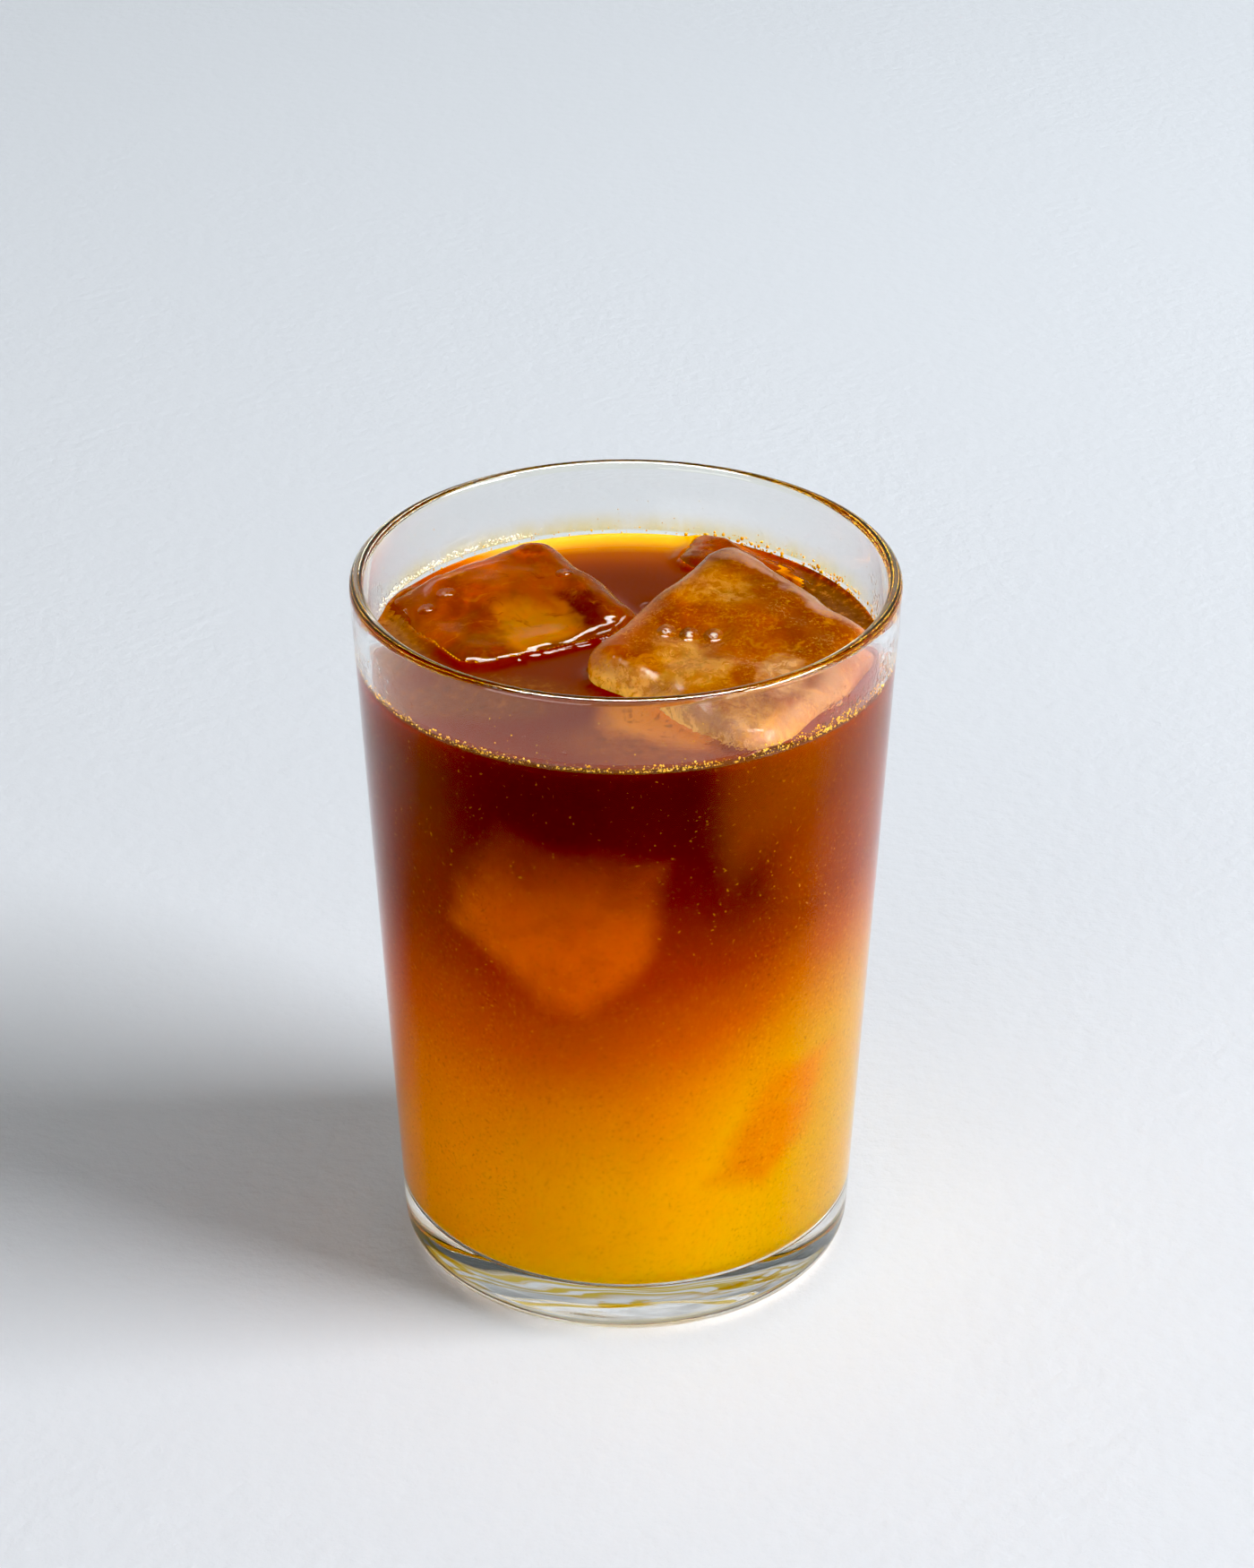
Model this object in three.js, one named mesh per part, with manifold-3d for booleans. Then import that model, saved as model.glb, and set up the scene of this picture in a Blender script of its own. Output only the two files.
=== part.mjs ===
// Iced coffee poured over orange juice, in a plain flared tumbler.
// Millimetres; the origin is the centre of the foot, +Z is up and the side that faces the viewer is -Y.
import * as THREE from "three";
import { mergeVertices } from "three/addons/utils/BufferGeometryUtils.js";
import Module from "manifold-3d";

const wasm = await Module();
wasm.setup();

// The tumbler
const GLASS_HEIGHT = 120.5;
const RIM_RADIUS = 43.5; // outside, at the top of the lip
const WALL = 2.3;
const WALL_LEAN = THREE.MathUtils.degToRad(3.04); // the wall leans out by this much
const FOOT_CORNER = 4.6; // radius of the outer corner at the foot
const FLOOR_HEIGHT = 8.5; // top of the thick base
const FLOOR_CORNER = 4.5; // radius of the inner corner at the floor
const FOOT_HOLLOW_RADIUS = 28.5; // the underside is hollowed inside a flat foot ring
const FOOT_HOLLOW_DEPTH = 0.7;
const GLASS_SIDES = 72;
const CORNER_STEPS = 6;
const LIP_STEPS = 8;

// The drink
const LIQUID_LEVEL = 107.4;
const GAP = 0.3; // kept between pieces that touch
const LAYER_LOW = 50.5; // where juice turns into coffee on the left
const LAYER_RISE = 16; // how much higher that is on the right
const LAYER_MIDDLE_X = 20; // where half of that rise is reached
const LAYER_RUN = 11; // and the run that it takes on either side
const LAYER_WAVE = { height: 0.9, lengthX: 50, lengthY: 57 }; // slow waves in the layer
const LAYER_CELLS = 18;
const CLEAR = 10; // how far a block that only cuts stands out past the glass

// The ice: the far, right, near and left corner of each top face before rounding, and the thickness under it
const ICE = {
  ice_right: {
    top: [[15.5, 19.5, 119.6], [42, -4.5, 112.5], [20.5, -38.5, 111.2], [-7.8, -12.5, 113.4]],
    thickness: 29,
    bottomShare: 0.92,
    rounding: 0.28,
    melt: 0.45,
    phase: 1.0,
    dish: { a: -0.2, b: -0.1, depth: 0.8, width: 0.7 },
  },
  ice_left: {
    top: [[-14, 30.5, 115], [4, 5.5, 111.6], [-25, -11.5, 108.2], [-44, 14.5, 108.2]],
    thickness: 27,
    bottomShare: 0.92,
    rounding: 0.34,
    melt: 0.5,
    phase: 2.2,
    dish: { a: 0.45, b: 0.2, depth: 1.8, width: 0.45 },
  },
  ice_back: {
    top: [[12, 41.5, 110.8], [43, 12.5, 105.5], [34.5, 4, 105], [7, 29.5, 109.8]],
    thickness: 16,
    bottomShare: 0.85,
    rounding: 0.4,
    melt: 0.4,
    phase: 0.4,
    dish: { a: 0, b: 0, depth: 0, width: 1 },
  },
};
const ICE_CELLS = 10; // along each edge of a block
const ICE_SWELL = 0.08; // how far the faces swell towards a ball
const SWOLLEN_BALL = 1.25; // the radius of that ball, in half edges
// Melting leaves broad lumps and finer ones. Each is the product of two waves, given by their turns in
// radians for each millimetre along X, Y and Z, and by how much of the phase each takes.
const LUMPS = [
  { share: 1, waves: [{ turn: [0.21, 0.13, 0], phases: 1 }, { turn: [0, 0.17, -0.19], phases: 2 }] },
  { share: 0.6, waves: [{ turn: [0.29, 0, 0.37], phases: 3 }, { turn: [-0.23, 0.33, 0], phases: 1 }] },
];

// The outer radius of the wall at a height, and the radius of the space inside it.
const outerRadius = (z) => RIM_RADIUS - (GLASS_HEIGHT - z) * Math.tan(WALL_LEAN);
const innerRadius = (z) => outerRadius(z) - WALL / Math.cos(WALL_LEAN);

// Points along an arc in the profile plane, from one angle to another in radians.
function arc(centreR, centreZ, radius, from, to, steps) {
  return Array.from({ length: steps + 1 }, (_, i) => {
    const angle = from + ((to - from) * i) / steps;
    return new THREE.Vector2(centreR + radius * Math.cos(angle), centreZ + radius * Math.sin(angle));
  });
}

// The centre of a circle of a given radius that touches a leaning wall on its inner side, at height z.
const tangentCentre = (wallRadius, z, radius) => wallRadius(z) - radius / Math.cos(WALL_LEAN);

// The inside of the tumbler from the axis, along the floor and up the wall, drawn in by an inset.
function innerProfile(inset, top) {
  const radius = FLOOR_CORNER - inset;
  const floor = FLOOR_HEIGHT + inset;
  const wall = (z) => innerRadius(z) - inset / Math.cos(WALL_LEAN);
  const centre = tangentCentre(wall, floor + radius, radius);
  return [
    new THREE.Vector2(0, floor),
    ...arc(centre, floor + radius, radius, -Math.PI / 2, -WALL_LEAN, CORNER_STEPS),
    new THREE.Vector2(wall(top), top),
  ];
}

// The whole section of the tumbler: underside, foot, outer wall, rounded lip, inner wall and floor.
function glassProfile() {
  const hollow = [1, 0.75, 0.5, 0.25].map(
    (share) => new THREE.Vector2(FOOT_HOLLOW_RADIUS * (1 - share), FOOT_HOLLOW_DEPTH * (1 - (1 - share) ** 2)),
  );
  const lip = WALL / 2;
  const lipHeight = GLASS_HEIGHT - lip;
  const footCentre = tangentCentre(outerRadius, FOOT_CORNER, FOOT_CORNER);
  const lipCentre = tangentCentre(outerRadius, lipHeight, lip);
  return [
    ...hollow,
    new THREE.Vector2(FOOT_HOLLOW_RADIUS, 0),
    ...arc(footCentre, FOOT_CORNER, FOOT_CORNER, -Math.PI / 2, -WALL_LEAN, CORNER_STEPS),
    ...arc(lipCentre, lipHeight, lip, -WALL_LEAN, Math.PI - WALL_LEAN, LIP_STEPS),
    ...innerProfile(0, lipHeight).slice(0, -1).reverse(),
  ];
}

// Turns a profile about the Z axis.
function turned(profile) {
  return new THREE.LatheGeometry(profile, GLASS_SIDES).rotateX(Math.PI / 2);
}

// A closed geometry as a solid: equal vertices are merged and faces with no area are dropped.
function solidOf(geometry) {
  const bare = new THREE.BufferGeometry();
  bare.setAttribute("position", geometry.getAttribute("position"));
  bare.setIndex(geometry.getIndex());
  const merged = mergeVertices(bare, 1e-4);
  const corners = merged.index.array;
  const kept = [];
  for (let i = 0; i < corners.length; i += 3) {
    const face = corners.subarray(i, i + 3);
    if (new Set(face).size === 3) kept.push(...face);
  }
  const vertProperties = merged.attributes.position.array;
  return new wasm.Manifold(new wasm.Mesh({ numProp: 3, vertProperties, triVerts: new Uint32Array(kept) }));
}

// The largest body of a solid, as a geometry with flat faces.
function geometryOf(solid) {
  const body = solid.decompose().reduce((best, other) => (other.volume() > best.volume() ? other : best));
  const mesh = body.getMesh();
  const geometry = new THREE.BufferGeometry();
  geometry.setAttribute("position", new THREE.BufferAttribute(mesh.vertProperties, 3));
  geometry.setIndex(new THREE.BufferAttribute(mesh.triVerts, 1));
  return geometry;
}

// The height at which juice turns into coffee: low on the left, higher on the right, with slow waves.
function layerHeight(x, y) {
  const rise = 0.5 + 0.5 * Math.tanh((x - LAYER_MIDDLE_X) / LAYER_RUN);
  const { height, lengthX, lengthY } = LAYER_WAVE;
  const wave = Math.sin((2 * Math.PI * x) / lengthX + 1) * Math.cos((2 * Math.PI * y) / lengthY);
  return LAYER_LOW + LAYER_RISE * rise + height * wave;
}

// A block that fills everything under the layer, or everything over it.
function layerBlock(over) {
  const width = 2 * RIM_RADIUS + CLEAR;
  const block = new THREE.BoxGeometry(width, width, 2, LAYER_CELLS, LAYER_CELLS, 1);
  const places = block.getAttribute("position");
  for (let i = 0; i < places.count; i += 1) {
    const atLayer = places.getZ(i) > 0 !== over;
    const layer = layerHeight(places.getX(i), places.getY(i)) + (over ? GAP / 2 : -GAP / 2);
    places.setZ(i, atLayer ? layer : over ? GLASS_HEIGHT + CLEAR : -CLEAR);
  }
  return solidOf(block);
}

// The point of a rounded cube of half edge 1 that belongs to a point of the plain cube.
function roundedCubePoint(plain, rounding) {
  const core = plain.clone().clampScalar(rounding - 1, 1 - rounding);
  const point = plain.clone().sub(core).normalize().multiplyScalar(rounding).add(core);
  return point.multiplyScalar(1 - ICE_SWELL + (ICE_SWELL * SWOLLEN_BALL) / point.length());
}

// The height of the melt lumps at a point, from -1.6 to 1.6.
function meltLumps(point, phase) {
  const wave = ({ turn, phases }) => Math.sin(point.dot(new THREE.Vector3(...turn)) + phases * phase);
  return LUMPS.reduce((sum, { share, waves }) => sum + share * wave(waves[0]) * wave(waves[1]), 0);
}

// A block of ice: a rounded cube stretched between its top face and a smaller bottom face, with a dish
// melted into the top and lumps all over. It is grown from its middle by a margin all round.
function iceBlock({ top, thickness, bottomShare, rounding, melt, phase, dish }, margin) {
  const [far, right, near, left] = top.map((corner) => new THREE.Vector3(...corner));
  const topMiddle = far.clone().add(right).add(near).add(left).divideScalar(4);
  const up = near.clone().sub(far).cross(right.clone().sub(left)).normalize();
  const bottomMiddle = topMiddle.clone().addScaledVector(up, -thickness);
  const middle = topMiddle.clone().add(bottomMiddle).divideScalar(2);
  const halfEdge = Math.min(thickness, far.distanceTo(right), far.distanceTo(left)) / 2;

  const cube = new THREE.BoxGeometry(2, 2, 2, ICE_CELLS, ICE_CELLS, ICE_CELLS);
  const places = cube.getAttribute("position");
  const plain = new THREE.Vector3();
  for (let i = 0; i < places.count; i += 1) {
    plain.fromBufferAttribute(places, i);
    // the cells crowd together towards the edges, where the rounding is
    plain.set(...plain.toArray().map((share) => Math.sin((share * Math.PI) / 2)));
    const { x: a, y: b, z: c } = roundedCubePoint(plain, rounding);
    const onTop = new THREE.Vector3()
      .addScaledVector(far, ((1 - a) * (1 + b)) / 4)
      .addScaledVector(right, ((1 + a) * (1 + b)) / 4)
      .addScaledVector(near, ((1 + a) * (1 - b)) / 4)
      .addScaledVector(left, ((1 - a) * (1 - b)) / 4);
    const onBottom = onTop.clone().sub(topMiddle).multiplyScalar(bottomShare).add(bottomMiddle);
    const point = onBottom.lerp(onTop, (c + 1) / 2);
    const hollow = dish.depth * Math.exp(-((a - dish.a) ** 2 + (b - dish.b) ** 2) / dish.width ** 2);
    point.addScaledVector(up, -hollow * Math.max(c, 0) ** 2);
    const outward = point.clone().sub(middle);
    point.addScaledVector(outward.clone().normalize(), melt * meltLumps(point, phase));
    point.addScaledVector(outward, margin / halfEdge);
    places.setXYZ(i, point.x, point.y, point.z);
  }
  return solidOf(cube);
}

function piece(name, solid, colour, roughness, opacity = 1) {
  const material = new THREE.MeshStandardMaterial({ color: colour, roughness, metalness: 0 });
  material.transparent = opacity < 1;
  material.opacity = opacity;
  const mesh = new THREE.Mesh(geometryOf(solid), material);
  mesh.name = name;
  return mesh;
}

const inside = solidOf(turned([...innerProfile(GAP, GLASS_HEIGHT), new THREE.Vector2(0, GLASS_HEIGHT)]));
const drink = solidOf(turned([...innerProfile(GAP, LIQUID_LEVEL), new THREE.Vector2(0, LIQUID_LEVEL)]));
const ice = Object.entries(ICE).map(([name, shape]) => ({
  name,
  solid: iceBlock(shape, 0).intersect(inside),
  room: iceBlock(shape, GAP),
}));
const coffee = ice.reduce((left, { room }) => left.subtract(room), drink.intersect(layerBlock(true)));

const tumbler = new THREE.Group();
tumbler.add(piece("glass", solidOf(turned(glassProfile())), 0xf2f6f7, 0.03, 0.25));

const contents = new THREE.Group();
contents.add(piece("orange_juice", drink.intersect(layerBlock(false)), 0xf2a60a, 0.35));
contents.add(piece("cold_brew", coffee, 0x5a1604, 0.2));
for (const { name, solid } of ice) contents.add(piece(name, solid, 0xc4771f, 0.25, 0.8));

const icedCoffee = new THREE.Group();
icedCoffee.add(tumbler, contents);
export default icedCoffee;
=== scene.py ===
import bpy
import numpy as np
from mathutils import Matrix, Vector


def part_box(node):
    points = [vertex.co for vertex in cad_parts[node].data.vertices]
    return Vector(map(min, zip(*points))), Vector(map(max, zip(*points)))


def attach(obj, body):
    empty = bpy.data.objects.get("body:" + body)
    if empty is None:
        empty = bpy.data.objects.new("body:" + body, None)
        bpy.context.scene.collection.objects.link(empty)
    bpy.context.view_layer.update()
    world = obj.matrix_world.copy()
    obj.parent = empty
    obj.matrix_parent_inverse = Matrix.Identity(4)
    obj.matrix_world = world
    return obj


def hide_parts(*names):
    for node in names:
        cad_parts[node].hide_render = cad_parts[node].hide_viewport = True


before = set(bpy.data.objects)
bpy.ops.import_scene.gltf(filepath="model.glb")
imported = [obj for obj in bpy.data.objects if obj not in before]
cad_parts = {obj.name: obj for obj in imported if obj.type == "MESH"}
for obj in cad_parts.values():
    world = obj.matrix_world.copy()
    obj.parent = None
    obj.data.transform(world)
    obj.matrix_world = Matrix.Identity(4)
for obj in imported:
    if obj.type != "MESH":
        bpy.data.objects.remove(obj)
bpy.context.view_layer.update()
MM = 0.001

# The tumbler, in the sizes of its solid
GLASS_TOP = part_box("glass")[1][2] / MM
RIM_RADIUS = 43.5
WALL = 2.3
LEAN = np.radians(3.04)
FOOT_CORNER = 4.6
FLOOR = 8.5
FLOOR_CORNER = 4.5
HOLLOW_RADIUS = 28.5
HOLLOW_DEPTH = 0.7

# How finely the turned shapes are cut
TURNS = 240
FLOOR_STEPS, CORNER_STEPS, WALL_STEPS, ROUND_STEPS = 10, 16, 40, 20
HOLLOW_POINTS, RING_STEPS = 24, 4
DRINK_WALL_STEPS, SURFACE_POINTS = 60, 120

# Waves that the mould left in the base: in rays and rings, of one length, fading out inside a radius
MOULD_RAYS, MOULD_RINGS, MOULD_LENGTH, MOULD_CALM = 12, 1.6, 9, 10
MOULD_SHARE, MOULD_HEIGHT = 0.0006, 0.012

# The drink
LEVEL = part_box("cold_brew")[1][2] / MM
INTO_WALL = 0.12  # the drink reaches this far into the glass, so no air shows between them
LAYER_LOW, LAYER_RISE, LAYER_MIDDLE_X, LAYER_RUN = 50.5, 16.0, 20.0, 11.0

# Its wet edge: how far it climbs the wall and the ice, and over what distance that dies away
WALL_CLIMB, WALL_FADE = 0.5, 0.8
ICE_CLIMB, ICE_FADE = 0.8, 0.9

# Pockets in the surface under the ice: depth, how far in from the ice's edge and from the wall they start,
# and how wide their sides are
POCKET_DEPTH = 30
POCKET_INSET, POCKET_SIDE = 0.9, 1.2
POCKET_WALL_GAP, POCKET_WALL_SIDE = 5, 3
POCKET_FACE_INSET = 0.5

# The ice above the surface: far, right, near and left corner of each top face, then the thickness. The bottom
# share is the size of the bottom face. A dish is its place on the top from -1 to 1, its depth and its width.
ICE = {
    "ice_right": dict(
        top=[(15.5, 19.5, 119.6), (42, -4.5, 112.5), (20.5, -38.5, 111.2), (-7.8, -12.5, 113.4)],
        thickness=29, bottom_share=0.92, rounding=0.28, melt=0.45, phase=1.0, dish=(-0.2, -0.1, 0.8, 0.7),
    ),
    "ice_left": dict(
        top=[(-14, 30.5, 115), (4, 5.5, 111.6), (-25, -11.5, 108.2), (-44, 14.5, 108.2)],
        thickness=27, bottom_share=0.92, rounding=0.34, melt=0.5, phase=2.2, dish=(0.45, 0.2, 1.8, 0.45),
    ),
    "ice_back": dict(
        top=[(12, 41.5, 110.8), (43, 12.5, 105.5), (34.5, 4, 105), (7, 29.5, 109.8)],
        thickness=16, bottom_share=0.85, rounding=0.4, melt=0.4, phase=0.4, dish=(0, 0, 0, 1),
    ),
}
ICE_CELLS = 44
SWELL, SWOLLEN_BALL = 0.08, 1.25  # each cube goes this share of the way to a ball of this radius
ICE_PITS = [(5.5, 11, 0.12), (2.4, 12, 0.05)]  # (length of the waves, seed, height)
ICE_WALL_GAP = 0.05
WATERLINE_BAND, SECTORS = 0.6, 90


# Numbers and profiles

def outer_radius(z):
    """Outer radius of the wall at height z: the rim radius less the lean below the rim."""
    return RIM_RADIUS - (GLASS_TOP - z) * np.tan(LEAN)


def inner_radius(z):
    """Radius of the space inside the wall at height z."""
    return outer_radius(z) - WALL / np.cos(LEAN)


def arc(centre_r, centre_z, radius, start, end, steps):
    """Points of a circle round a centre in the profile plane, evenly spaced in angle."""
    angle = np.linspace(start, end, steps + 1)
    return np.stack([centre_r + radius * np.cos(angle), centre_z + radius * np.sin(angle)], -1)


def straight(start, end, steps):
    """Points evenly spaced between two points, without the two ends."""
    share = np.linspace(0, 1, steps + 1)[1:-1, None]
    return np.asarray(start) * (1 - share) + np.asarray(end) * share


def tangent_centre(radius_at, z, radius):
    """Distance from the axis of a circle at height z that touches the leaning wall from inside."""
    return radius_at(z) - radius / np.cos(LEAN)


def inside_profile(inset, top, steps):
    """Floor, rounded corner and wall of the inside, drawn in by an inset (drawn out where it is negative)."""
    radius, floor = FLOOR_CORNER - inset, FLOOR + inset

    def wall(z):
        return inner_radius(z) - inset / np.cos(LEAN)

    centre = tangent_centre(wall, floor + radius, radius)
    corner = arc(centre, floor + radius, radius, -np.pi / 2, -LEAN, CORNER_STEPS)
    end = np.array([wall(top), top])
    bottom = straight((0, floor), corner[0], FLOOR_STEPS)
    return np.concatenate([bottom, corner, straight(corner[-1], end, steps), [end]])


def waves(points, length, seed):
    """Smooth bumps about 1 high: the mean of sine waves of about one length, along seeded directions."""
    count = 7
    rng = np.random.default_rng(seed)
    way = rng.normal(size=(count, 3))
    way *= (rng.uniform(0.7, 1.4, count) / np.linalg.norm(way, axis=1))[:, None]
    shift = rng.uniform(0, 2 * np.pi, count)
    return np.sin(points @ way.T * (2 * np.pi / length) + shift).sum(-1) / np.sqrt(count)


# Meshes

def make_mesh(name, points, quads, triangles=()):
    """A smooth mesh object from points in millimetres and arrays of four-sided and three-sided faces."""
    quads = np.asarray(quads, np.int32).reshape(-1, 4)
    triangles = np.asarray(triangles, np.int32).reshape(-1, 3)
    corners = np.concatenate([quads.ravel(), triangles.ravel()])
    starts = np.concatenate([np.arange(len(quads)) * 4, len(quads) * 4 + np.arange(len(triangles)) * 3])
    mesh = bpy.data.meshes.new(name)
    mesh.vertices.add(len(points))
    mesh.vertices.foreach_set("co", (np.asarray(points, float) * MM).ravel())
    mesh.loops.add(len(corners))
    mesh.loops.foreach_set("vertex_index", corners)
    mesh.polygons.add(len(starts))
    mesh.polygons.foreach_set("loop_start", starts)
    mesh.update(calc_edges=True)
    mesh.polygons.foreach_set("use_smooth", np.ones(len(starts), bool))
    mesh.validate()
    made = bpy.data.objects.new(name, mesh)
    bpy.context.scene.collection.objects.link(made)
    return made


def read_points(items, key):
    """The places of a mesh's points (key "co") or the middles of its faces ("center"), in millimetres."""
    flat = np.empty(len(items) * 3)
    items.foreach_get(key, flat)
    return flat.reshape(-1, 3) / MM


def turned(name, profile):
    """A profile carried round the Z axis. Its first and last points are on the axis and become poles."""
    ring, rows = profile[1:-1], len(profile) - 2
    turn = np.arange(TURNS)
    angle = np.linspace(0, 2 * np.pi, TURNS, endpoint=False)
    around = np.stack([np.cos(angle), np.sin(angle)], -1)
    height = np.broadcast_to(ring[:, None, 1:], (rows, TURNS, 1))
    points = np.concatenate([ring[:, None, :1] * around[None], height], -1).reshape(-1, 3)
    row, column = np.meshgrid(np.arange(rows - 1), turn, indexing="ij")
    here, beside = row * TURNS + column, row * TURNS + (column + 1) % TURNS
    quads = np.stack([here, beside, beside + TURNS, here + TURNS], -1)
    first_pole, last_pole, last_row = rows * TURNS, rows * TURNS + 1, (rows - 1) * TURNS
    following = (turn + 1) % TURNS
    triangles = np.concatenate([
        np.stack([np.full(TURNS, first_pole), following, turn], -1),
        np.stack([np.full(TURNS, last_pole), last_row + turn, last_row + following], -1),
    ])
    poles = [[0, 0, profile[0][1]], [0, 0, profile[-1][1]]]
    return make_mesh(name, np.concatenate([points, poles]), quads, triangles)


def cube_sheets(cells):
    """The six faces of a cube of half edge 1 as welded points and quads; cells crowd towards the edges."""
    step = np.sin(np.linspace(-1, 1, cells + 1) * np.pi / 2)
    a, b = np.meshgrid(step, step, indexing="ij")
    one = np.ones_like(a)
    sheets = [(a, b, one), (b, a, -one), (one, a, b), (-one, b, a), (b, one, a), (a, -one, b)]
    points = np.stack([np.stack(sheet, -1) for sheet in sheets]).reshape(-1, 3)
    row, column = np.meshgrid(np.arange(cells), np.arange(cells), indexing="ij")
    corner = (row * (cells + 1) + column)[..., None] + np.array([0, cells + 1, cells + 2, 1])
    quads = (np.arange(6)[:, None, None, None] * (cells + 1) ** 2 + corner).reshape(-1, 4)
    _, kept, welded = np.unique(np.round(points, 6), axis=0, return_index=True, return_inverse=True)
    return points[kept], welded.reshape(-1)[quads]


def ice_points(cube, top, thickness, bottom_share, rounding, melt, phase, dish):
    """Places a rounded cube between a four-cornered top face and a smaller bottom face below it.

    A dish is melted into the top, and lumps push each point away from or towards the middle. Gives the points
    and the way up."""
    far, right, near, left = (np.array(corner, float) for corner in top)
    core = np.clip(cube, rounding - 1, 1 - rounding)
    out = cube - core
    point = core + rounding * out / np.linalg.norm(out, axis=-1, keepdims=True)
    point *= 1 - SWELL + SWELL * SWOLLEN_BALL / np.linalg.norm(point, axis=-1, keepdims=True)
    a, b, c = point[:, :1], point[:, 1:2], point[:, 2:]
    on_top = ((1 - a) * (1 + b) * far + (1 + a) * (1 + b) * right
              + (1 + a) * (1 - b) * near + (1 - a) * (1 - b) * left) / 4
    top_middle = (far + right + near + left) / 4
    up = np.cross(near - far, right - left)
    up /= np.linalg.norm(up)
    bottom_middle = top_middle - thickness * up
    on_bottom = bottom_middle + (on_top - top_middle) * bottom_share
    place = on_bottom + (on_top - on_bottom) * (c + 1) / 2
    dish_a, dish_b, depth, width = dish
    hollow = depth * np.exp(-((a - dish_a) ** 2 + (b - dish_b) ** 2) / width ** 2)
    place = place - up * hollow * np.maximum(c, 0) ** 2
    x, y, z = place.T
    broad = np.sin(0.21 * x + 0.13 * y + phase) * np.sin(0.17 * y - 0.19 * z + 2 * phase)
    fine = np.sin(0.29 * x + 0.37 * z + 3 * phase) * np.sin(0.33 * y - 0.23 * x + phase)
    away = place - (top_middle + bottom_middle) / 2
    away /= np.linalg.norm(away, axis=-1, keepdims=True)
    return place + away * (melt * (broad + 0.6 * fine))[:, None], up


def kept_inside(place, gap):
    """Draws in whatever would pass the inner wall, so that a melted flat is left against the glass."""
    radius = np.hypot(place[:, 0], place[:, 1])
    limit = inner_radius(place[:, 2]) - gap
    share = np.minimum(1, limit / np.maximum(radius, 1e-6))
    return place * np.stack([share, share, np.ones_like(share)], -1)


# Materials

def opaque(colour):
    """A colour with full alpha. A socket stays as it is."""
    return colour if isinstance(colour, bpy.types.NodeSocket) else (*colour, 1.0)


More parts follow.
